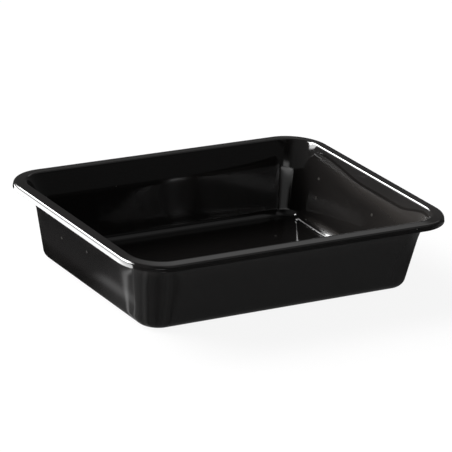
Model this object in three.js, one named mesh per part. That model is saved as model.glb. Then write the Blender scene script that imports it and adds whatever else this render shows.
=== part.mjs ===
// Sealable food tray: one thermoformed sheet of even thickness, 227 x 178 mm at the rim.
//
// The sheet's section is drawn from the lip inwards: a lip turned a little outwards, a short skirt,
// the rolled outer edge, a flat sealing flange, the inner edge, a wall that flares at its top, the
// rounding to the floor, and the floor. That section is carried round the tray's plan, a rectangle
// with round corners, and closed by a flat cap on both faces of the floor.
//
// Millimetres. +Z is up, +X runs along the tray's length. The origin is the middle of the underside.

import * as THREE from "three";

// ---------------------------------------------------------------- driving dimensions

const LENGTH = 227;            // over the lip, along X
const WIDTH = 178;             // over the lip, along Y
const SHEET = 0.8;             // thickness of the plastic

const LIP_HEIGHT = 45.1;       // the lip's lower edge above the underside
const LIP_TURNOUT = 20;        // degrees that the lip's edge leans outwards
const LIP_BEND = 1.8;          // radius of that turn
const SKIRT_LEAN = 8;          // degrees off vertical
const SKIRT_DEPTH = 1.35;      // straight part of the skirt
const OUTER_EDGE = 1.6;        // radius from the skirt over to the flange
const FLANGE_SLOPE = 6;        // degrees that the flange rises inwards
const FLANGE_WIDTH = 4.8;      // straight part of the flange
const INNER_EDGE = 1.2;        // radius from the flange down to the wall

const FLARE_LEAN = 28.4;       // degrees off vertical, at the wall's top
const FLARE_BEND = 57;         // radius of the flare
const WALL_DRAFT = 10.3;       // degrees off vertical, below the flare
const FLOOR_EDGE = 6;          // radius from the wall to the floor

const RIM_CORNER = 26.3;       // plan radius of the lip's corners
const FOOT_CORNER = 14;        // plan radius of the wall's corners, where the wall meets the floor

const CORNER_STEPS = 16;       // flat facets round one corner
const EDGE_STEP = 16;          // degrees between facets of a small bend
const FLARE_STEPS = 5;

const PLASTIC_COLOUR = 0x101011;
const PLASTIC_ROUGHNESS = 0.16;

// ---------------------------------------------------------------- the sheet's section

const rad = THREE.MathUtils.degToRad;

// A pen that draws the middle of the sheet. x is the inset from the lip's outermost edge, y the height,
// and the heading is in degrees, 0 pointing inwards and 90 up.
class SheetPen {
  constructor(x, y, heading) {
    this.at = new THREE.Vector2(x, y);
    this.heading = heading;
    this.stations = [];
    this.mark();
  }

  // The faces lie half a sheet to either side: the shown face left of the pen, the back face right.
  mark() {
    const angle = rad(this.heading);
    const across = new THREE.Vector2(-Math.sin(angle), Math.cos(angle));
    this.stations.push({ middle: this.at.clone(), across });
  }

  straight(length) {
    const angle = rad(this.heading);
    this.at.x += length * Math.cos(angle);
    this.at.y += length * Math.sin(angle);
    this.mark();
  }

  bend(radius, newHeading, steps) {
    const turn = newHeading - this.heading;
    const side = Math.sign(turn);
    const start = rad(this.heading);
    const centre = this.at.clone();
    centre.x -= side * radius * Math.sin(start);
    centre.y += side * radius * Math.cos(start);
    const count = steps ?? Math.ceil(Math.abs(turn) / EDGE_STEP);
    const from = this.heading;
    for (let i = 1; i <= count; i += 1) {
      this.heading = from + (turn * i) / count;
      const angle = rad(this.heading);
      this.at.x = centre.x + side * radius * Math.sin(angle);
      this.at.y = centre.y - side * radius * Math.cos(angle);
      this.mark();
    }
  }
}

function drawSection() {
  const lipHeading = 90 - LIP_TURNOUT;
  const wallHeading = WALL_DRAFT - 90;
  const halfSheet = SHEET / 2;
  const lip = rad(lipHeading);
  const pen = new SheetPen(halfSheet * Math.sin(lip), LIP_HEIGHT + halfSheet * Math.cos(lip), lipHeading);
  pen.bend(LIP_BEND, 90 - SKIRT_LEAN);
  pen.straight(SKIRT_DEPTH);
  pen.bend(OUTER_EDGE, FLANGE_SLOPE);
  pen.straight(FLANGE_WIDTH);
  const rimEnd = pen.stations.length - 1;
  pen.bend(INNER_EDGE, FLARE_LEAN - 90);
  pen.bend(FLARE_BEND, wallHeading, FLARE_STEPS);

  // The wall is as long as it takes for the floor's underside to come out at height 0.
  const roundingHeight = FLOOR_EDGE * (1 - Math.cos(rad(wallHeading)));
  const wallDrop = pen.at.y - roundingHeight - halfSheet;
  pen.straight(wallDrop / Math.cos(rad(WALL_DRAFT)));
  const wallEnd = pen.stations.length - 1;
  pen.bend(FLOOR_EDGE, 0);
  return { stations: pen.stations, rimEnd, wallEnd };
}

// The plan's corner radius at each station. Along the rim it shrinks with the inset, so that the
// rim's outlines run side by side. Down the wall it tapers to the foot's radius, and round the
// floor's edge it shrinks with the inset again.
function cornerRadii({ stations, rimEnd, wallEnd }) {
  const top = stations[rimEnd].middle;
  const foot = stations[wallEnd].middle;
  const topRadius = RIM_CORNER - top.x;
  return stations.map(({ middle }, i) => {
    if (i <= rimEnd) {
      return RIM_CORNER - middle.x;
    }
    if (i >= wallEnd) {
      return FOOT_CORNER - (middle.x - foot.x);
    }
    return THREE.MathUtils.mapLinear(middle.y, foot.y, top.y, FOOT_CORNER, topRadius);
  });
}

// ---------------------------------------------------------------- the closed shell

// One outline of the tray's plan: a rectangle with round corners, counter-clockwise from above.
function planOutline(inset, height, cornerRadius) {
  const halfX = LENGTH / 2 - inset - cornerRadius;
  const halfY = WIDTH / 2 - inset - cornerRadius;
  const corners = [[1, 1], [-1, 1], [-1, -1], [1, -1]];
  const points = [];
  corners.forEach(([sideX, sideY], quarter) => {
    for (let i = 0; i <= CORNER_STEPS; i += 1) {
      const angle = (quarter + i / CORNER_STEPS) * Math.PI / 2;
      const x = sideX * halfX + cornerRadius * Math.cos(angle);
      const y = sideY * halfY + cornerRadius * Math.sin(angle);
      points.push(new THREE.Vector3(x, y, height));
    }
  });
  return points;
}

// The outline of one face at one station. side is +1 for the shown face, -1 for the back face.
function faceOutline({ middle, across }, cornerRadius, side) {
  const shift = across.clone().multiplyScalar(side * SHEET / 2);
  return planOutline(middle.x + shift.x, middle.y + shift.y, cornerRadius - shift.x);
}

// Outlines joined in order by two triangles a side, with a flat cap in the first and in the last.
function loft(outlines) {
  const count = outlines[0].length;
  const positions = outlines.flat().flatMap((point) => point.toArray());
  const triangles = [];
  for (let ring = 0; ring + 1 < outlines.length; ring += 1) {
    for (let i = 0; i < count; i += 1) {
      const next = (i + 1) % count;
      const low = ring * count;
      const high = low + count;
      triangles.push(low + i, low + next, high + next);
      triangles.push(low + i, high + next, high + i);
    }
  }
  [0, outlines.length - 1].forEach((ring) => {
    const start = ring * count;
    const centre = positions.length / 3;
    positions.push(0, 0, outlines[ring][0].z);
    for (let i = 0; i < count; i += 1) {
      const next = (i + 1) % count;
      const edge = ring === 0 ? [start + next, start + i] : [start + i, start + next];
      triangles.push(centre, ...edge);
    }
  });
  const geometry = new THREE.BufferGeometry();
  geometry.setAttribute("position", new THREE.Float32BufferAttribute(positions, 3));
  geometry.setIndex(triangles);
  geometry.computeVertexNormals();
  return geometry;
}

// From the underside's middle out to the lip along the back face, and back in along the shown face.
function trayGeometry() {
  const section = drawSection();
  const radii = cornerRadii(section);
  const outlinesOf = (side) => section.stations.map((station, i) => faceOutline(station, radii[i], side));
  return loft([...outlinesOf(-1).reverse(), ...outlinesOf(1)]);
}

// ---------------------------------------------------------------- the tray

const plastic = new THREE.MeshStandardMaterial({
  color: PLASTIC_COLOUR,
  roughness: PLASTIC_ROUGHNESS,
  metalness: 0,
});

const tray = new THREE.Mesh(trayGeometry(), plastic);
tray.name = "tray";

const group = new THREE.Group();
group.add(tray);

export default group;
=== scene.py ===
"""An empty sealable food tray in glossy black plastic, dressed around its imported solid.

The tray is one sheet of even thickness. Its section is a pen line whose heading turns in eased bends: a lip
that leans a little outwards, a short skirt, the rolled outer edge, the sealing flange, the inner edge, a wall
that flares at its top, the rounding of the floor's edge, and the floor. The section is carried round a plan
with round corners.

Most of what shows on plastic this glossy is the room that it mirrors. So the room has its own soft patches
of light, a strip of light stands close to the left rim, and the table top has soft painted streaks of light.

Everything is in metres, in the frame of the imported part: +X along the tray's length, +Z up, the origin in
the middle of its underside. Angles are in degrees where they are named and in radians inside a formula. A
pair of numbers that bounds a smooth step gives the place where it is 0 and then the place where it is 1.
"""

from __future__ import annotations

import logging
import math
from dataclasses import dataclass
from enum import Enum

import bpy
import numpy as np
from mathutils import Matrix, Vector

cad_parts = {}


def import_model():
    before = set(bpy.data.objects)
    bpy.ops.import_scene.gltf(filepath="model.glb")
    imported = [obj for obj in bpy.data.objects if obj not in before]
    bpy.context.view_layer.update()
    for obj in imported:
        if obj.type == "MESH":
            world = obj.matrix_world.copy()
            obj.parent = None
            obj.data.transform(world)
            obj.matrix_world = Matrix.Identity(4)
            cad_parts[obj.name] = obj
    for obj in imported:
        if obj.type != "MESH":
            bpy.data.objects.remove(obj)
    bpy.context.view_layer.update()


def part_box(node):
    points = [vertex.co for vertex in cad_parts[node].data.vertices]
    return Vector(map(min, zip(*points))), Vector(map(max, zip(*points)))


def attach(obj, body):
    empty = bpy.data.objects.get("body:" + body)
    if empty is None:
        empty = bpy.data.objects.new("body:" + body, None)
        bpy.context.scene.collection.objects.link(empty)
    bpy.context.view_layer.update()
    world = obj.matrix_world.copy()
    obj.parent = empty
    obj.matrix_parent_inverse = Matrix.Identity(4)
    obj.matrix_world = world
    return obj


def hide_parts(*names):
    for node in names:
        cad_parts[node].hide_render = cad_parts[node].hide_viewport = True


LOG = logging.getLogger("food_tray")
MM = 0.001

Array = np.ndarray
Socket = bpy.types.NodeSocket


# ------------------------------------------------------------------------------------ the sheet's section


class SheetPart(Enum):
    """The stretches of the sheet's section, in order from the lip to the floor."""

    LIP = "lip"
    SKIRT = "skirt"
    OUTER_EDGE = "outer edge"
    FLANGE = "flange"
    INNER_EDGE = "inner edge"
    FLARE = "flare"
    WALL = "wall"
    FLOOR_EDGE = "floor edge"


STATIONS = {
    SheetPart.LIP: 6,
    SheetPart.SKIRT: 4,
    SheetPart.OUTER_EDGE: 18,
    SheetPart.FLANGE: 8,
    SheetPart.INNER_EDGE: 16,
    SheetPart.FLARE: 14,
    SheetPart.WALL: 16,
    SheetPart.FLOOR_EDGE: 16,
}


@dataclass(frozen=True)
class Stretch:
    """A stretch of the section's middle line, over which its heading turns evenly between two angles."""

    part: SheetPart
    length: float
    turn_from: float
    turn_to: float

    @classmethod
    def bend(cls, part: SheetPart, radius: float, start: float, end: float) -> Stretch:
        """A bend of the given radius, as long as its turn asks for."""
        return cls(part, radius * math.radians(abs(end - start)), start, end)

    @property
    def stations(self) -> int:
        """The number of stations that the stretch is drawn with."""
        return STATIONS[self.part]


@dataclass(frozen=True)
class SheetSection:
    """The sheet's middle line from the lip to the floor, and the plan's corner radius along it.

    A heading of 0 points inwards and one of 90 up, so the shown face lies to the left of the line. Lengths
    are in millimetres and angles in degrees.
    """

    height: float
    sheet: float = 0.8
    lip_turnout: float = 20.0
    lip_bend: float = 1.8
    skirt_lean: float = 8.0
    skirt_depth: float = 1.35
    outer_edge: float = 1.6
    flange_slope: float = 6.0
    flange_width: float = 4.8
    inner_edge: float = 1.2
    flare_lean: float = 28.4
    flare_bend: float = 57.0
    wall_draft: float = 10.3
    floor_edge: float = 6.0
    rim_corner: float = 26.3
    foot_corner: float = 14.0
    cut_round: float = 0.12
    cut_points: int = 4
    easing: float = 0.25
    fine_step: float = 0.01
    knot_gap: float = 1e-6

    @staticmethod
    def _climb(radius: float, start: float, end: float) -> float:
        """How far a bend climbs: its radius times the difference of its headings' cosines."""
        side = math.copysign(1.0, end - start)
        return side * radius * (math.cos(math.radians(start)) - math.cos(math.radians(end)))

    def stretches(self) -> list[Stretch]:
        """The stretches in order. The wall is as long as it takes for the floor to come out level with 0.

        Returns:
            The stretches, from the lip to the floor's edge.
        """
        lip, skirt = 90 - self.lip_turnout, 90 - self.skirt_lean
        flange, flare, wall = self.flange_slope, self.flare_lean - 90, self.wall_draft - 90
        crest_drop = self.sheet / 2 * math.cos(math.radians(flange))
        flange_top = self.height - self._crest_rise() - crest_drop
        below_flange = self._climb(self.inner_edge, flange, flare) + self._climb(self.flare_bend, flare, wall)
        rounding = -self._climb(self.floor_edge, wall, 0)
        drop = flange_top + below_flange - rounding - self.sheet / 2
        return [
            Stretch.bend(SheetPart.LIP, self.lip_bend, lip, skirt),
            Stretch(SheetPart.SKIRT, self.skirt_depth, skirt, skirt),
            Stretch.bend(SheetPart.OUTER_EDGE, self.outer_edge, skirt, flange),
            Stretch(SheetPart.FLANGE, self.flange_width, flange, flange),
            Stretch.bend(SheetPart.INNER_EDGE, self.inner_edge, flange, flare),
            Stretch.bend(SheetPart.FLARE, self.flare_bend, flare, wall),
            Stretch(SheetPart.WALL, drop / math.cos(math.radians(self.wall_draft)), wall, wall),
            Stretch.bend(SheetPart.FLOOR_EDGE, self.floor_edge, wall, 0),
        ]

    def _crest_rise(self) -> float:
        """How much higher the shown face's crest is than its point at the flange's inner end."""
        outer = self.inner_edge + self.sheet / 2
        return outer * (1 - math.cos(math.radians(self.flange_slope)))

    def stations(self) -> tuple[Array, Array, Array]:
        """Points of the middle line, the headings there and the plan's corner radii.

        The heading is drawn on a fine scale of arc length and eased by a running mean, so bends start and
        end softly. The place is the running sum of the heading's cosine and sine.

        Returns:
            (n, 2) insets and heights, (n,) headings in radians and (n,) corner radii, lip to floor.
        """
        parts = self.stretches()
        ends = np.cumsum([0.0] + [part.length for part in parts])
        lengths = np.arange(0, ends[-1] + self.fine_step, self.fine_step)
        knots = np.repeat(ends, 2)[1:-1]
        knots[1::2] -= self.knot_gap
        turns = np.ravel([[part.turn_from, part.turn_to] for part in parts])
        heading = np.radians(np.interp(lengths, knots, turns))
        half = int(self.easing / self.fine_step)
        window = np.full(2 * half + 1, 1 / (2 * half + 1))
        heading = np.convolve(np.pad(heading, half, mode="edge"), window, mode="valid")
        steps = np.stack([np.cos(heading), np.sin(heading)], axis=1) * self.fine_step
        place = np.cumsum(steps, axis=0) - steps / 2

        spans = zip(ends, ends[1:], parts)
        drawn = [np.linspace(start, end, part.stations, endpoint=False) for start, end, part in spans]
        chosen = np.concatenate(drawn + [ends[-1:]])
        place = np.stack([np.interp(chosen, lengths, place[:, k]) for k in range(2)], axis=1)
        heading = np.interp(chosen, lengths, heading)

        place[:, 1] += self.sheet / 2 - place[-1, 1]
        place[:, 0] -= np.min(place[:, 0] - self.sheet / 2 * np.sin(heading))
        rim = [part.part for part in parts].index(SheetPart.INNER_EDGE)
        rim_end = sum(part.stations for part in parts[:rim])
        wall_end = len(chosen) - 1 - parts[-1].stations
        return place, heading, self._corner_radii(place, rim_end, wall_end)

    def _corner_radii(self, place: Array, rim_end: int, wall_end: int) -> Array:
        """The plan's corner radii: less the inset along the rim and the floor's edge, tapered down the wall.

        Args:
            place: (n, 2) insets and heights of the middle line.
            rim_end: the station at the flange's inner end.
            wall_end: the station at the wall's foot.

        Returns:
            (n,) radii.
        """
        inset, height = place[:, 0], place[:, 1]
        top = self.rim_corner - inset[rim_end]
        share = (height - height[wall_end]) / (height[rim_end] - height[wall_end])
        radii = self.foot_corner + (top - self.foot_corner) * share
        radii[:rim_end] = self.rim_corner - inset[:rim_end]
        radii[wall_end:] = self.foot_corner - (inset[wall_end:] - inset[wall_end])
        return radii

    def loop(self) -> tuple[Array, Array, Array]:
        """The whole closed line: the shown face from the floor out to the lip, its cut edge, the back face.

        A face lies half a sheet to one side of the middle line, along that line's normal, which is the
        heading's (-sin, cos). The cut edge is rounded by two quarter turns.

        Returns:
            Insets, heights and corner radii, in millimetres.
        """
        place, heading, radii = self.stations()
        normal = np.stack([-np.sin(heading), np.cos(heading)], axis=1)
        half = self.sheet / 2
        shown = place + normal * half
        back = place - normal * half
        along = np.array([math.cos(heading[0]), math.sin(heading[0])])
        angles = np.linspace(0, math.pi / 2, self.cut_points)
        outer_round = np.stack([-np.sin(angles), np.cos(angles) - 1], axis=1) * self.cut_round
        cut = shown[0] + outer_round[:, :1] * along + outer_round[:, 1:] * normal[0]
        back_cut = back[0] + outer_round[::-1, :1] * along - outer_round[::-1, 1:] * normal[0]
        line = np.concatenate([shown[::-1], cut[1:], back_cut[:-1], back])
        shift_shown = shown[:, 0] - place[:, 0]
        shift_back = back[:, 0] - place[:, 0]
        cut_radii = self.rim_corner - np.concatenate([cut[1:, 0], back_cut[:-1, 0]])
        corner = np.concatenate([(radii - shift_shown)[::-1], cut_radii, radii - shift_back])
        return line[:, 0], line[:, 1], corner


# ------------------------------------------------------------------------------------ meshes


def rounded_rectangle(
    half_x: Array, half_y: Array, corner: Array, corner_steps: int, side_steps: tuple[int, int]
) -> Array:
    """Outlines of rectangles with round corners, one row for each set of sizes, counter-clockwise from above.

    A corner is its centre plus the radius times (cos, sin) of an angle that runs over a quarter turn. A
    straight side runs evenly from one corner's end to the next corner's start.

    Args:
        half_x: half sizes along X, (rows,).
        half_y: half sizes along Y, (rows,).
        corner: corner radii, (rows,).
        corner_steps: steps round a corner.
        side_steps: steps along the sides that run along X and along Y.

    Returns:
        (rows, columns, 2) points.
    """
    angle = np.linspace(0, math.pi / 2, corner_steps + 1)
    arcs = []
    for quarter, (sx, sy) in enumerate([(1, 1), (-1, 1), (-1, -1), (1, -1)]):
        centre = np.stack([sx * (half_x - corner), sy * (half_y - corner)], axis=-1)
        turn = angle + quarter * math.pi / 2
        round_off = corner[:, None, None] * np.stack([np.cos(turn), np.sin(turn)], axis=-1)
        arcs.append(centre[:, None] + round_off)
    outline = []
    for quarter, arc in enumerate(arcs):
        following = arcs[(quarter + 1) % 4]
        steps = side_steps[quarter % 2]
        share = (np.arange(1, steps) / steps)[None, :, None]
        outline += [arc, arc[:, -1:] * (1 - share) + following[:, :1] * share]
    return np.concatenate(outline, axis=1)


def shell_mesh(name: str, rings: Array) -> bpy.types.Object:
    """A closed shell from a grid of points whose rows are closed rings, with a point at either end.

    Args:
        name: the object's name.
        rings: (rows, columns, 3) points, from the shown face's middle out and back underneath, with each
            ring counter-clockwise from above.

    Returns:
        The object, smooth shaded, with its faces outwards.
    """
    rows, columns = rings.shape[:2]
    poles = np.stack([rings[0].mean(axis=0), rings[-1].mean(axis=0)])
    points = np.concatenate([rings.reshape(-1, 3), poles])
    row, column = np.meshgrid(np.arange(rows - 1), np.arange(columns), indexing="ij")
    after = (column + 1) % columns
    inner, outer = row * columns, (row + 1) * columns
    quads = np.stack([inner + column, outer + column, outer + after, inner + after], axis=-1)
    around = np.arange(columns)
    following = (around + 1) % columns
    first_pole, last_pole = rows * columns, rows * columns + 1
    last = (rows - 1) * columns
    first_cap = np.stack([np.full(columns, first_pole), around, following], axis=-1)
    last_cap = np.stack([np.full(columns, last_pole), last + following, last + around], axis=-1)

    mesh = bpy.data.meshes.new(name)
    corners = np.concatenate([quads.ravel(), first_cap.ravel(), last_cap.ravel()]).astype(np.int32)
    sizes = np.concatenate([np.full((rows - 1) * columns, 4), np.full(2 * columns, 3)]).astype(np.int32)
    mesh.vertices.add(len(points))
    mesh.vertices.foreach_set("co", points.astype(np.float32).ravel())
    mesh.loops.add(len(corners))
    mesh.loops.foreach_set("vertex_index", corners)
    mesh.polygons.add(len(sizes))
    mesh.polygons.foreach_set("loop_start", np.concatenate([[0], np.cumsum(sizes)[:-1]]).astype(np.int32))
    mesh.polygons.foreach_set("loop_total", sizes)
    mesh.update(calc_edges=True)
    mesh.validate()
    mesh.shade_smooth()
    body = bpy.data.objects.new(name, mesh)
    bpy.context.scene.collection.objects.link(body)
    return body


@dataclass(frozen=True)
class FoodTray:
    """The tray's shell: its section carried round its plan, with both faces of the floor closed.

    Length and width are in millimetres, over the lip.
    """

    length: float
    width: float
    section: SheetSection
    corner_steps: int = 36
    side_steps: tuple[int, int] = (26, 20)
    floor_rings: int = 12
    innermost_ring: float = 0.06

    def build(self) -> bpy.types.Object:
        """Makes the shell. The floor's rings are its outline drawn in evenly towards the middle.

        Returns:
            The shell's object, with its place in its mesh.
        """
        inset, height, corner = self.section.loop()
        half_x, half_y = self.length / 2 - inset, self.width / 2 - inset
        plan = rounded_rectangle(half_x, half_y, corner, self.corner_steps, self.side_steps)
        level = np.broadcast_to(height[:, None, None], plan.shape[:2] + (1,))
        sheet = np.concatenate([plan, level], axis=-1)
        shares = np.linspace(self.innermost_ring, 1, self.floor_rings, endpoint=False)[:, None, None]
        flat = np.array([1.0, 1.0, 0.0])
        inner = sheet[:1] * (flat * shares + (1 - flat))
        under = (sheet[-1:] * (flat * shares + (1 - flat)))[::-1]
        rings = np.concatenate([inner, sheet, under]) * MM
        return shell_mesh("tray_shell", rings)

    def dress(self, tray: bpy.types.Object, finish: GlossBlackPlastic) -> None:
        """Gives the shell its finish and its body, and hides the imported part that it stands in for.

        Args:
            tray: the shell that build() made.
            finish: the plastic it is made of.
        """
        tray.data.materials.append(finish.material())
        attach(tray, "root")
        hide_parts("tray")
        LOG.info("tray: %d faces", len(tray.data.polygons))


# ------------------------------------------------------------------------------------ nodes


class NodeTree:
    """A node tree that starts empty, with short calls for the nodes used here."""

    def __init__(self, tree: bpy.types.NodeTree) -> None:
        """Empties the tree."""
        self.tree = tree
        tree.nodes.clear()

    def _set(self, socket: Socket, value: Socket | float | tuple | bpy.types.Node) -> None:
        """Links an input to a socket or to a node's first output, or sets its value.

        Args:
            socket: the input.
            value: what goes into it.
        """
        if isinstance(value, bpy.types.Node):
            value = value.outputs[0]
        if isinstance(value, bpy.types.NodeSocket):
            self.tree.links.new(value, socket)
        else:
            socket.default_value = value

    def add(
        self, kind: str, settings: dict | None = None, *inputs: object, **named: object
    ) -> bpy.types.Node:
        """Adds a node.

        Args:
            kind: the node's type.
            settings: properties of the node.
            inputs: sockets or values for the first inputs, in order.
            named: sockets or values by the input's name, with underscores for spaces.

        Returns:
            The node.
        """
        node = self.tree.nodes.new(kind)
        for key, value in (settings or {}).items():
            setattr(node, key, value)
        for socket, value in zip(node.inputs, inputs):
            self._set(socket, value)
        for key, value in named.items():
            self._set(node.inputs[key.replace("_", " ")], value)
        return node

    def maths(self, operation: str, *inputs: object) -> Socket:
        """The result of a Math node."""
        return self.add("ShaderNodeMath", {"operation": operation}, *inputs).outputs[0]

    def split(self, place: Socket) -> tuple[Socket, Socket, Socket]:
        """The three parts of a vector."""
        return tuple(self.add("ShaderNodeSeparateXYZ", None, place).outputs)

    def smooth(self, value: Socket, at_zero: float, at_one: float) -> Socket:
        """A smooth step of a value.

        Args:
            value: the value.
            at_zero: where the step is 0.
            at_one: where it is 1, which may lie on either side of the other.

        Returns:
            The step.
        """
        if at_zero > at_one:
            return self.maths("SUBTRACT", 1.0, self.smooth(value, at_one, at_zero))
        step = {"interpolation_type": "SMOOTHSTEP"}
        return self.add("ShaderNodeMapRange", step, value, at_zero, at_one, 0.0, 1.0).outputs[0]

    def ramp(self, value: Socket, at_zero: float, at_one: float) -> Socket:
        """An even climb of a value, 0 at one place and 1 at the other, held beyond them."""
        return self.add("ShaderNodeMapRange", None, value, at_zero, at_one, 0.0, 1.0).outputs[0]

    def blend(self, share: Socket, at_zero: object, at_one: object) -> Socket:
        """A value between two others by a share."""
        return self.add("ShaderNodeMapRange", None, share, 0.0, 1.0, at_zero, at_one).outputs[0]

    def distance(self, place: Socket, centre: tuple[float, float, float]) -> Socket:
        """The distance of a place from a centre."""
        node = self.add("ShaderNodeVectorMath", {"operation": "DISTANCE"}, place, centre)
        return node.outputs["Value"]

    def vector(self, operation: str, *inputs: object) -> Socket:
        """The result of a Vector Math node that gives a vector."""
        return self.add("ShaderNodeVectorMath", {"operation": operation}, *inputs).outputs["Vector"]

    def length(self, value: Socket) -> Socket:
        """The length of a vector."""
        return self.add("ShaderNodeVectorMath", {"operation": "LENGTH"}, value).outputs["Value"]

    def noise(self, place: Socket, scale: float, detail: float) -> Socket:
        """Noise from 0 to 1, with the given number of features to the metre."""
        return self.add("ShaderNodeTexNoise", None, Vector=place, Scale=scale, Detail=detail).outputs[0]

    def mix_colour(self, share: Socket, at_zero: object, at_one: object) -> Socket:
        """A colour between two others by a share.

        Args:
            share: how much of the second colour.
            at_zero: the first colour, a socket or red, green and blue.
            at_one: the second colour.

        Returns:
            The colour.
        """
        node = self.add("ShaderNodeMix", {"data_type": "RGBA"}, share)
        for socket, value in zip((node.inputs[6], node.inputs[7]), (at_zero, at_one)):
            self._set(socket, (*value, 1.0) if isinstance(value, tuple) else value)
        return node.outputs[2]

    def input(self, name: str, kind: str) -> Socket:
        """Adds an input to a group, with the node that brings it in."""
        self.tree.interface.new_socket(name, in_out="INPUT", socket_type=kind)
        return self.tree.nodes.new("NodeGroupInput").outputs[name]

    def output(self, name: str, value: Socket) -> None:
        """Adds an output of one number to a group and links a value to it.

        Args:
            name: the output's name.
            value: what it gives.
        """
        self.tree.interface.new_socket(name, in_out="OUTPUT", socket_type="NodeSocketFloat")
        ends = [node for node in self.tree.nodes if node.bl_idname == "NodeGroupOutput"]
        end = ends[0] if ends else self.tree.nodes.new("NodeGroupOutput")
        self.tree.links.new(value, end.inputs[name])

    def finish(self, shader: bpy.types.Node) -> None:
        """Links a shader to the tree's output, which is made here.

        Args:
            shader: the node whose first output is the tree's result.
        """
        world = any(node.bl_idname == "ShaderNodeBackground" for node in self.tree.nodes)
        out = self.tree.nodes.new("ShaderNodeOutputWorld" if world else "ShaderNodeOutputMaterial")
        self.tree.links.new(shader.outputs[0], out.inputs[0])


def grey(level: float) -> tuple[float, float, float, float]:
    """An even grey of the given brightness."""
    return (level, level, level, 1)


# ------------------------------------------------------------------------------------ finishes


@dataclass(frozen=True)
class PlugStepAndPaintedBand:
    """The forming plug's mark on the end walls: a fine step back under the flare, and below it a band that is
    a little dulled and painted lighter, a painted sheen.

    The step's drop under the rim grows by two smooth steps along the wall, from the front and from the
    back, so it hangs lowest a little in front of the wall's middle. The band fades out downwards and
    towards the back.
    """

    rim: float
    on_end: tuple[float, float] = (0.090, 0.095)
    drop: tuple[float, float] = (0.0034, 0.0075)
    hang_front: tuple[float, float] = (-0.064, -0.038)
    hang_back: tuple[float, float] = (0.050, 0.0)
    step_half: float = 0.0007
    step_x: tuple[float, float] = (0.096, 0.101)
    step_y: tuple[float, float] = (0.064, 0.045)
    painted_sheen_start: tuple[float, float] = (0.0006, 0.0014)
    blur_and_sheen_fall: tuple[float, float] = (0.012, 0.0)
    painted_sheen_y: tuple[float, float] = (0.07, -0.01)
    painted_sheen: float = 0.8
    blur: float = 0.09

    def draw(self, tree: NodeTree, place: Socket) -> tuple[Socket, Socket, Socket]:
        """The mark by place.

        Args:
            tree: the group's tree.
            place: the place in the part's frame.

        Returns:
            The band's painted sheen, its blur, and the share of the step that lies above the place.
        """
        x, y, z = tree.split(place)
        end = tree.maths("ABSOLUTE", x)
        hang = tree.maths("MULTIPLY", tree.smooth(y, *self.hang_front), tree.smooth(y, *self.hang_back))
        depth = tree.maths("SUBTRACT", self.rim, z)
        below = tree.maths("SUBTRACT", depth, tree.blend(hang, *self.drop))

        reach = tree.maths("MULTIPLY", tree.smooth(y, *self.step_y), tree.smooth(end, *self.step_x))
        ramp = tree.ramp(below, -self.step_half, self.step_half)
        step = tree.maths("MULTIPLY", ramp, reach)
        fall = tree.smooth(below, *self.blur_and_sheen_fall)
        blur = tree.maths("MULTIPLY", tree.maths("MULTIPLY", ramp, fall), reach)

        # Painted sheen: the band's lighter colour starts just below the step on the end walls and fades
        # downwards and towards the back.
        start = tree.maths("MULTIPLY", tree.smooth(below, *self.painted_sheen_start), tree.smooth(end, *self.on_end))
        band = tree.maths("MULTIPLY", tree.maths("MULTIPLY", start, fall), tree.smooth(y, *self.painted_sheen_y))
        painted_sheen = tree.maths("MULTIPLY", band, self.painted_sheen)
        return painted_sheen, tree.maths("MULTIPLY", blur, self.blur), step


@dataclass(frozen=True)
class SheenAndRub:
    """A place of painted sheen and of rubbing: its middle and its reach along each axis.

    The painted sheen lightens the plastic's colour; the blur roughens it, where forming or handling has
    dulled the plastic.
    """

    centre: tuple[float, float, float]
    reach: tuple[float, float, float]
    painted_sheen: float
    blur: float = 0.0

    def share(self, tree: NodeTree, place: Socket) -> Socket:
        """How much of the spot is at a place, by the distance from its middle, scaled by its reach."""
        scaled = tree.vector("DIVIDE", tree.vector("SUBTRACT", place, self.centre), self.reach)
        return tree.smooth(tree.length(scaled), 1.0, 0.0)


@dataclass(frozen=True)
class Speck:
    """A speck of dust in a place of its own, and how thickly it covers the plastic."""

    place: tuple[float, float, float]
    cover: float = 0.15


@dataclass(frozen=True)
class Dust:
    """Specks of dust: strewn ones in the middles of some Voronoi cells, and ones in places of their own.

    A strewn speck's size is a share of its cell, and cells are picked by their own random value.
    """

    cell_scale: float = 85.0
    strewn_size: tuple[float, float] = (0.034, 0.018)
    picked: tuple[float, float] = (0.78, 0.84)
    strewn_cover: float = 0.5
    placed_size: tuple[float, float] = (0.0013, 0.0005)
    placed: tuple[Speck, ...] = (
        Speck((-0.0987, 0.0310, 0.0245), 0.22),
        Speck((-0.0992, -0.0013, 0.0272), 0.22),
        Speck((0.0991, 0.0478, 0.0312)),
        Speck((0.0969, 0.0462, 0.0189)),
        Speck((0.0986, -0.0150, 0.0284)),
        Speck((0.0619, 0.0370, 0.0008)),
    )

    def draw(self, tree: NodeTree, place: Socket) -> Socket:
        """How thickly dust covers a place.

        Args:
            tree: the group's tree.
            place: the place in the part's frame.

        Returns:
            The cover, from 0 to 1.
        """
        cells = tree.add("ShaderNodeTexVoronoi", None, Vector=place, Scale=self.cell_scale)
        speck = tree.smooth(cells.outputs["Distance"], *self.strewn_size)
        draw = tree.add("ShaderNodeSeparateColor", None, cells.outputs["Color"]).outputs[0]
        strewn = tree.maths("MULTIPLY", speck, tree.smooth(draw, *self.picked))
        total = tree.maths("MULTIPLY", strewn, self.strewn_cover)
        for one in self.placed:
            share = tree.smooth(tree.distance(place, one.place), *self.placed_size)
            total = tree.maths("MAXIMUM", total, tree.maths("MULTIPLY", share, one.cover))
        return total


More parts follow.
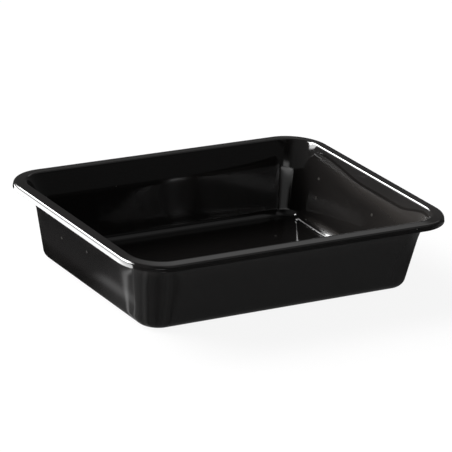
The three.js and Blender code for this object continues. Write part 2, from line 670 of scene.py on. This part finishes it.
@dataclass(frozen=True)
class Hairlines:
    """Short hairline scratches: thin level lines of a stretched noise, kept where a broad noise is high."""

    turn: tuple[float, float, float] = (0.4, 0.9, 0.6)
    stretch: tuple[float, float, float] = (1.0, 0.12, 0.3)
    scale: float = 420.0
    middle: float = 0.5
    thin: tuple[float, float] = (0.008, 0.001)
    patch_scale: float = 45.0
    patch: tuple[float, float] = (0.55, 0.7)

    def draw(self, tree: NodeTree, place: Socket) -> Socket:
        """How scratched a place is.

        Args:
            tree: the group's tree.
            place: the place in the part's frame.

        Returns:
            The share, from 0 to 1.
        """
        turned = tree.add("ShaderNodeMapping", None, place, (0, 0, 0), self.turn, self.stretch)
        off = tree.maths("SUBTRACT", tree.noise(turned.outputs[0], self.scale, 1.0), self.middle)
        line = tree.smooth(tree.maths("ABSOLUTE", off), *self.thin)
        patch = tree.smooth(tree.noise(place, self.patch_scale, 2.0), *self.patch)
        return tree.maths("MULTIPLY", line, patch)


@dataclass(frozen=True)
class MarksAndPaintedSheen:
    """A node group that gives a place's painted sheen, and how blurred, dusty, scratched and stepped back it
    is.
    """

    band: PlugStepAndPaintedBand
    dust: Dust = Dust()
    hairlines: Hairlines = Hairlines()
    grain_scale: float = 900.0
    grain_detail: float = 4.0
    grain: tuple[float, float] = (0.75, 1.25)
    sheens_and_rubs: tuple[SheenAndRub, ...] = (
        # Painted sheen on the right end wall, most towards its front, and on the floor's edge below it; the
        # last spot only roughens.
        SheenAndRub((0.104, -0.062, 0.028), (0.022, 0.062, 0.035), 0.75),
        SheenAndRub((0.098, 0.0, 0.022), (0.02, 0.10, 0.05), 0.25),
        SheenAndRub((0.0942, 0.020, 0.0042), (0.006, 0.045, 0.0036), 1.0, 0.30),
        SheenAndRub((0.095, -0.070, 0.016), (0.026, 0.024, 0.038), 0.0, 0.8),
    )

    def group(self) -> bpy.types.NodeTree:
        """Builds the node group.

        Returns:
            The group, with the input Place and the outputs Painted Sheen, Blur, Dust, Scratch and Step.
        """
        tree = NodeTree(bpy.data.node_groups.new("marks_and_painted_sheen", "ShaderNodeTree"))
        place = tree.input("Place", "NodeSocketVector")
        band_painted_sheen, band_blur, step = self.band.draw(tree, place)
        spot_painted_sheen, rub_blur = self._sheens_and_rubs(tree, place)
        # Painted sheen: the lighter colour of the band and the spots, varied by a fine grain.
        painted_sheen = tree.maths("ADD", band_painted_sheen, spot_painted_sheen)
        grain = tree.blend(tree.noise(place, self.grain_scale, self.grain_detail), *self.grain)
        painted_sheen = tree.maths("MULTIPLY", painted_sheen, grain)
        tree.output("Painted Sheen", tree.maths("MINIMUM", painted_sheen, 1.0))
        tree.output("Blur", tree.maths("ADD", rub_blur, band_blur))
        tree.output("Dust", self.dust.draw(tree, place))
        tree.output("Scratch", self.hairlines.draw(tree, place))
        tree.output("Step", step)
        return tree.tree

    def _sheens_and_rubs(self, tree: NodeTree, place: Socket) -> tuple[Socket, Socket]:
        """The painted sheen and the blur of all the spots together.

        Args:
            tree: the group's tree.
            place: the place in the part's frame.

        Returns:
            The painted sheen and the blur.
        """
        painted_sheen: Socket | float = 0.0
        blur: Socket | float = 0.0
        for sheen_and_rub in self.sheens_and_rubs:
            share = sheen_and_rub.share(tree, place)
            painted_sheen = tree.maths("ADD", painted_sheen, tree.maths("MULTIPLY", share, sheen_and_rub.painted_sheen))
            blur = tree.maths("ADD", blur, tree.maths("MULTIPLY", share, sheen_and_rub.blur))
        return painted_sheen, blur


@dataclass(frozen=True)
class SheetRelief:
    """A node group that gives the height of the skin's fine relief: slow waves and a faint orange peel."""

    wave: float = 0.00003
    wave_scale: float = 38.0
    peel: float = 0.0000003
    peel_scale: float = 1100.0

    def group(self) -> bpy.types.NodeTree:
        """Builds the node group.

        Returns:
            The group, with the input Place and the output Height.
        """
        tree = NodeTree(bpy.data.node_groups.new("sheet_relief", "ShaderNodeTree"))
        place = tree.input("Place", "NodeSocketVector")
        waves = tree.maths("MULTIPLY", tree.noise(place, self.wave_scale, 1.0), self.wave)
        peel = tree.maths("MULTIPLY", tree.noise(place, self.peel_scale, 2.0), self.peel)
        tree.output("Height", tree.maths("ADD", waves, peel))
        return tree.tree


@dataclass(frozen=True)
class GlossBlackPlastic:
    """Black plastic with a smooth, glossy skin, faintly dulled where it was formed and handled, and painted
    lighter in places: a painted sheen.

    Its roughness wavers a little round the given one. The step is how deep the forming plug's mark is.
    """

    marks_and_sheen: MarksAndPaintedSheen
    relief: SheetRelief = SheetRelief()
    colour: tuple[float, float, float] = (0.0074, 0.0068, 0.0066)
    painted_sheen_colour: tuple[float, float, float] = (0.032, 0.029, 0.027)
    dust: tuple[float, float, float] = (0.30, 0.29, 0.27)
    roughness: float = 0.07
    waver: tuple[float, float] = (-0.015, 0.03)
    waver_scale: float = 60.0
    scratched: float = 0.12
    refraction: float = 1.5
    step: float = 0.00032

    def material(self) -> bpy.types.Material:
        """Builds the material.

        Returns:
            The material, which reads Object coordinates.
        """
        made = bpy.data.materials.new("gloss_black_plastic")
        made.use_nodes = True
        tree = NodeTree(made.node_tree)
        place = tree.add("ShaderNodeTexCoord").outputs["Object"]
        marks_and_sheen = tree.add("ShaderNodeGroup", {"node_tree": self.marks_and_sheen.group()}, place)
        relief = tree.add("ShaderNodeGroup", {"node_tree": self.relief.group()}, place)
        painted_sheen, blur, dust, scratch, step = (
            marks_and_sheen.outputs[name] for name in ("Painted Sheen", "Blur", "Dust", "Scratch", "Step")
        )
        # Painted sheen: the colour is lightened towards the painted sheen colour.
        colour = tree.mix_colour(painted_sheen, self.colour, self.painted_sheen_colour)
        colour = tree.mix_colour(dust, colour, self.dust)
        least, most = (self.roughness + waver for waver in self.waver)
        spread = tree.blend(tree.noise(place, self.waver_scale, 3.0), least, most)
        spread = tree.maths("ADD", spread, blur)
        spread = tree.maths("ADD", spread, tree.maths("MULTIPLY", scratch, self.scratched))
        spread = tree.maths("ADD", spread, dust)
        set_back = tree.maths("MULTIPLY", step, self.step)
        height = tree.maths("SUBTRACT", relief.outputs["Height"], set_back)
        bump = tree.add("ShaderNodeBump", None, Strength=1.0, Distance=1.0, Height=height)
        inputs = {"Base_Color": colour, "Roughness": spread, "IOR": self.refraction, "Normal": bump}
        tree.finish(tree.add("ShaderNodeBsdfPrincipled", None, **inputs))
        return made


# ------------------------------------------------------------------------------------ floor, light, camera


@dataclass(frozen=True)
class Camera:
    """The camera, at the photograph's viewing angle. Angles in degrees, distances in metres."""

    azimuth: float = -32.67
    elevation: float = 20.60
    roll: float = 3.92
    distance: float = 1.85005
    across: float = -0.00022
    above: float = 0.02753
    focal_pixels: float = 2974.9
    image_pixels: float = 452.0
    sensor: float = 36.0
    clip: tuple[float, float] = (0.05, 50.0)

    def place(self) -> None:
        """Adds the camera to the scene and makes it the scene's own."""
        azimuth, elevation, roll = (math.radians(v) for v in (self.azimuth, self.elevation, self.roll))
        level = math.cos(elevation)
        back = Vector((math.sin(azimuth) * level, -math.cos(azimuth) * level, math.sin(elevation)))
        right = Vector((math.cos(azimuth), math.sin(azimuth), 0))
        up = back.cross(right)
        eye = back * self.distance + right * self.across + up * self.above
        turned_right = right * math.cos(roll) + up * math.sin(roll)
        turned_up = up * math.cos(roll) - right * math.sin(roll)
        lens = bpy.data.cameras.new("camera")
        lens.sensor_width = self.sensor
        lens.lens = self.focal_pixels / self.image_pixels * self.sensor
        lens.clip_start, lens.clip_end = self.clip
        camera = bpy.data.objects.new("camera", lens)
        axes = Matrix((turned_right, turned_up, back)).transposed()
        camera.matrix_world = Matrix.Translation(eye) @ axes.to_4x4()
        bpy.context.scene.collection.objects.link(camera)
        bpy.context.scene.camera = camera


@dataclass(frozen=True)
class NearPanel:
    """An upright light panel close to the tray. It shows only as a highlight.

    It stands between two points of the floor plan and two heights, and shines to the right of the way from
    its start to its end.
    """

    name: str
    start: tuple[float, float]
    end: tuple[float, float]
    heights: tuple[float, float]
    brightness: float

    def place(self) -> None:
        """Adds the panel. Its power is its brightness times its area and pi."""
        start, end = Vector((*self.start, 0)), Vector((*self.end, 0))
        facing = (end - start).normalized().cross(Vector((0, 0, 1)))
        wide, tall = (end - start).length, self.heights[1] - self.heights[0]
        lamp = bpy.data.lights.new(self.name, "AREA")
        lamp.shape = "RECTANGLE"
        lamp.size = wide
        lamp.size_y = tall
        lamp.energy = self.brightness * wide * tall * math.pi
        body = bpy.data.objects.new(self.name, lamp)
        body.location = (start + end) / 2 + Vector((0, 0, sum(self.heights) / 2))
        body.rotation_euler = facing.to_track_quat("-Z", "Y").to_euler()
        body.visible_camera = False
        body.visible_diffuse = False
        bpy.context.scene.collection.objects.link(body)
        LOG.info("%s: %.2f x %.2f m", self.name, wide, tall)


@dataclass(frozen=True)
class Streak:
    """A straight painted streak on the table top: its bearing out from the tray's corner, half width,
    brightness.
    """

    bearing: float
    half_width: float
    brightness: float


@dataclass(frozen=True)
class TableTop:
    """The painted light and shade of the table top in the tray's mirror images. Places in metres, bearings in
    degrees.

    It is dim, painted brighter in front of the tray, with a painted pool of light at the left, a painted
    strip of light beside the left wall, painted shade at the left wall's foot, and narrow painted streaks out
    from the corner at the front left.
    """

    near_y: tuple[float, float] = (0.03, -0.03)
    far_y: tuple[float, float] = (-0.32, -0.17)
    levels: tuple[float, float] = (0.07, 0.18)
    pool_centre: tuple[float, float, float] = (-0.132, -0.035, 0.0)
    pool_reach: tuple[float, float] = (0.07, 0.0)
    pool_brightness: float = 0.1
    strip_middle: float = -0.1078
    strip_half: tuple[float, float] = (0.0055, 0.0)
    strip_front: tuple[float, float] = (-0.05, -0.02)
    strip_back: tuple[float, float] = (0.022, 0.0)
    strip_brightness: float = 0.32
    foot_x: tuple[float, float] = (-0.107, -0.099)
    foot_shade: float = 0.08
    corner: tuple[float, float] = (-0.085, -0.063)
    streak_reach: tuple[float, float] = (0.103, 0.078)
    streaks: tuple[Streak, ...] = (
        Streak(-29, 2.4, 0.75),
        Streak(-38.5, 2.4, 0.4),
        Streak(-90, 16, 0.2),
        Streak(-109, 6, -0.06),
        Streak(-150, 20, -0.05),
        Streak(170, 8, 0.06),
        Streak(146, 5, -0.06),
    )
    least: float = 0.02

    def brightness(self, tree: NodeTree) -> Socket:
        """The sum of the table's soft steps, the pool, the strip and the streaks.

        Args:
            tree: the floor material's tree.

        Returns:
            The brightness by place.
        """
        place = tree.add("ShaderNodeTexCoord").outputs["Object"]
        x, y, _ = tree.split(place)
        front = tree.maths("MULTIPLY", tree.smooth(y, *self.near_y), tree.smooth(y, *self.far_y))
        total = tree.blend(front, *self.levels)
        # A painted pool of light at the left.
        pool = tree.smooth(tree.distance(place, self.pool_centre), *self.pool_reach)
        total = tree.maths("ADD", total, tree.blend(pool, 0.0, self.pool_brightness))
        total = self._beside_wall(tree, total, x, y)
        return tree.maths("MAXIMUM", self._streaked(tree, total, place, x, y), self.least)

    def _beside_wall(self, tree: NodeTree, total: Socket, x: Socket, y: Socket) -> Socket:
        """Adds the painted strip of light beside the left wall, and paints shade at the wall's foot.

        Args:
            tree: the floor material's tree.
            total: the brightness so far.
            x: the place along X.
            y: the place along Y.

        Returns:
            The new brightness.
        """
        off = tree.maths("ABSOLUTE", tree.maths("SUBTRACT", x, self.strip_middle))
        front = tree.smooth(y, *self.strip_front)
        along = tree.maths("MULTIPLY", front, tree.smooth(y, *self.strip_back))
        strip = tree.maths("MULTIPLY", tree.smooth(off, *self.strip_half), along)
        total = tree.maths("ADD", total, tree.blend(strip, 0.0, self.strip_brightness))
        # Painted shade at the foot of the left wall.
        foot = tree.maths("MULTIPLY", tree.smooth(x, *self.foot_x), front)
        return tree.maths("SUBTRACT", total, tree.blend(foot, 0.0, self.foot_shade))

    def _streaked(self, tree: NodeTree, total: Socket, place: Socket, x: Socket, y: Socket) -> Socket:
        """Adds the painted streaks, which fade out with the distance from the corner.

        Args:
            tree: the floor material's tree.
            total: the brightness so far.
            place: the place.
            x: the place along X.
            y: the place along Y.

        Returns:
            The new brightness.
        """
        across = tree.maths("SUBTRACT", x, self.corner[0])
        along = tree.maths("SUBTRACT", y, self.corner[1])
        bearing = tree.maths("DEGREES", tree.maths("ARCTAN2", across, along))
        near = tree.smooth(tree.distance(place, (*self.corner, 0.0)), *self.streak_reach)
        for streak in self.streaks:
            off = tree.maths("ABSOLUTE", tree.maths("SUBTRACT", bearing, streak.bearing))
            lit = tree.maths("MULTIPLY", tree.smooth(off, streak.half_width, 0.0), near)
            total = tree.maths("ADD", total, tree.blend(lit, 0.0, streak.brightness))
        return total


@dataclass(frozen=True)
class Floor:
    """A plain pale floor, bright with a faint shadow for the camera. It lies a hair below the tray."""

    table: TableTop = TableTop()
    half: float = 6.0
    gap: float = 0.0001
    glow: float = 0.9
    paint: float = 0.1
    bounce: float = 0.5

    def place(self) -> None:
        """Adds the floor."""
        mesh = bpy.data.meshes.new("floor")
        edge, low = self.half, -self.gap
        corners = [(-edge, -edge, low), (edge, -edge, low), (edge, edge, low), (-edge, edge, low)]
        mesh.from_pydata(corners, [], [(0, 1, 2, 3)])
        body = bpy.data.objects.new("floor", mesh)
        bpy.context.scene.collection.objects.link(body)
        mesh.materials.append(self.material())

    def material(self) -> bpy.types.Material:
        """Builds the floor's material: bright for the camera, the table top in mirror images, else plain.

        Returns:
            The material.
        """
        made = bpy.data.materials.new("floor")
        made.use_nodes = True
        tree = NodeTree(made.node_tree)
        paint = tree.add("ShaderNodeBsdfDiffuse", Color=grey(self.paint))
        glow = tree.add("ShaderNodeEmission", Color=grey(1), Strength=self.glow)
        seen = tree.add("ShaderNodeAddShader", None, paint, glow)
        mirrored = tree.add("ShaderNodeEmission", Strength=self.table.brightness(tree))
        path = tree.add("ShaderNodeLightPath")
        bounce = tree.add("ShaderNodeBsdfDiffuse", Color=grey(self.bounce))
        first = tree.add("ShaderNodeMixShader", None, path.outputs["Is Camera Ray"], bounce, seen)
        both = tree.add("ShaderNodeMixShader", None, path.outputs["Is Glossy Ray"], first, mirrored)
        tree.finish(both)
        return made


@dataclass(frozen=True)
class Glow:
    """A soft-edged patch of brightness in the room, or of shade where the brightness is below 0.

    Bearings are from +Y towards +X, and rises are above the floor. The fades are half widths of its left,
    right, lower and upper edges. Its lower edge may climb to the left of a bearing, as that of a softbox
    seen at a slant does: by that many degrees for each degree.
    """

    name: str
    bearings: tuple[float, float]
    rises: tuple[float, float]
    fades: tuple[float, float, float, float]
    brightness: float
    climb: float = 0.0
    climbs_from: float = -46.0
    mirrored_only: bool = False

    def strength(self, tree: NodeTree, bearing: Socket, rise: Socket) -> Socket:
        """The patch's brightness in a direction: a product of four smooth steps.

        Args:
            tree: the world's tree.
            bearing: the direction's bearing.
            rise: the direction's rise.

        Returns:
            The brightness.
        """
        left, right, low, high = self.fades
        over_edge = rise
        if self.climb:
            beyond = tree.maths("MAXIMUM", tree.maths("SUBTRACT", self.climbs_from, bearing), 0.0)
            over_edge = tree.maths("SUBTRACT", rise, tree.maths("MULTIPLY", beyond, self.climb))
        steps = [
            tree.smooth(bearing, self.bearings[0] - left, self.bearings[0] + left),
            tree.smooth(bearing, self.bearings[1] + right, self.bearings[1] - right),
            tree.smooth(over_edge, self.rises[0] - low, self.rises[0] + low),
            tree.smooth(rise, self.rises[1] + high, self.rises[1] - high),
        ]
        if self.mirrored_only:
            steps.append(tree.add("ShaderNodeLightPath").outputs["Is Glossy Ray"])
        total: Socket | float = self.brightness
        for step in steps:
            total = tree.maths("MULTIPLY", total, step)
        return total


@dataclass(frozen=True)
class Room:
    """The room around the tray: an even dim shade with soft patches of light, and plain white behind."""

    shade: float
    glows: tuple[Glow, ...]

    def build(self) -> None:
        """Makes the scene's world."""
        world = bpy.data.worlds.new("room")
        bpy.context.scene.world = world
        world.use_nodes = True
        tree = NodeTree(world.node_tree)
        x, y, z = tree.split(tree.add("ShaderNodeTexCoord").outputs["Generated"])
        bearing = tree.maths("DEGREES", tree.maths("ARCTAN2", x, y))
        rise = tree.maths("DEGREES", tree.maths("ARCSINE", z))
        total: Socket | float = self.shade
        for glow in self.glows:
            total = tree.maths("ADD", total, glow.strength(tree, bearing, rise))
            LOG.info("%s: brightness %.2f", glow.name, glow.brightness)
        room = tree.add("ShaderNodeBackground", Color=grey(1), Strength=total)
        behind = tree.add("ShaderNodeBackground", Color=grey(1), Strength=1.0)
        path = tree.add("ShaderNodeLightPath")
        tree.finish(tree.add("ShaderNodeMixShader", None, path.outputs["Is Camera Ray"], room, behind))


STUDIO = Room(
    shade=0.09,
    glows=(
        Glow("window", (-69, -4), (19, 52), (3, 9, 1.5, 5), 12.5, climb=0.4),
        Glow("bright top of the window", (-67, 0), (33, 53), (3, 4, 2, 4), 42, mirrored_only=True),
        Glow("below the window", (-70, -4), (6, 17), (8, 8, 3, 3), 0.09),
        Glow("left of the room", (-140, -70), (-5, 75), (12, 4, 8, 8), 0.09),
        Glow("low light in front", (-173, -149), (3, 14), (4, 6, 2, 4), 1.5),
        Glow("back of the room", (12, 75), (28, 80), (4, 12, 4, 8), 0.08),
        Glow("band at the back", (29, 65), (29, 36), (5, 10, 2, 5), 0.42),
        Glow("narrow light", (27, 45), (42, 55), (4, 5, 3, 3), 0.45),
        Glow("right of the room", (85, 165), (42, 80), (12, 12, 6, 8), 0.22),
        Glow("dark in front, right", (112, 180), (33, 42), (10, 8, 4, 5), -0.075, mirrored_only=True),
        Glow("dark in front, left", (-180, -150), (24, 55), (8, 10, 6, 8), -0.07, mirrored_only=True),
    ),
)
LEFT_PANEL = NearPanel(
    "left panel", start=(-0.120, -0.074), end=(-0.120, 0.150), heights=(0.036, 0.0496), brightness=12
)


# ------------------------------------------------------------------------------------ the scene


def main() -> None:
    """Builds the tray, its finish, the floor, the light and the camera."""
    logging.basicConfig(level=logging.INFO, format="%(name)s: %(message)s")
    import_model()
    low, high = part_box("tray")
    Camera().place()

    section = SheetSection(height=high.z / MM)
    tray = FoodTray((high.x - low.x) / MM, (high.y - low.y) / MM, section)
    tray.dress(tray.build(), GlossBlackPlastic(MarksAndPaintedSheen(PlugStepAndPaintedBand(rim=high.z))))

    Floor().place()
    STUDIO.build()
    LEFT_PANEL.place()
    bpy.context.scene.view_settings.view_transform = "Standard"


if __name__ == "__main__":
    main()
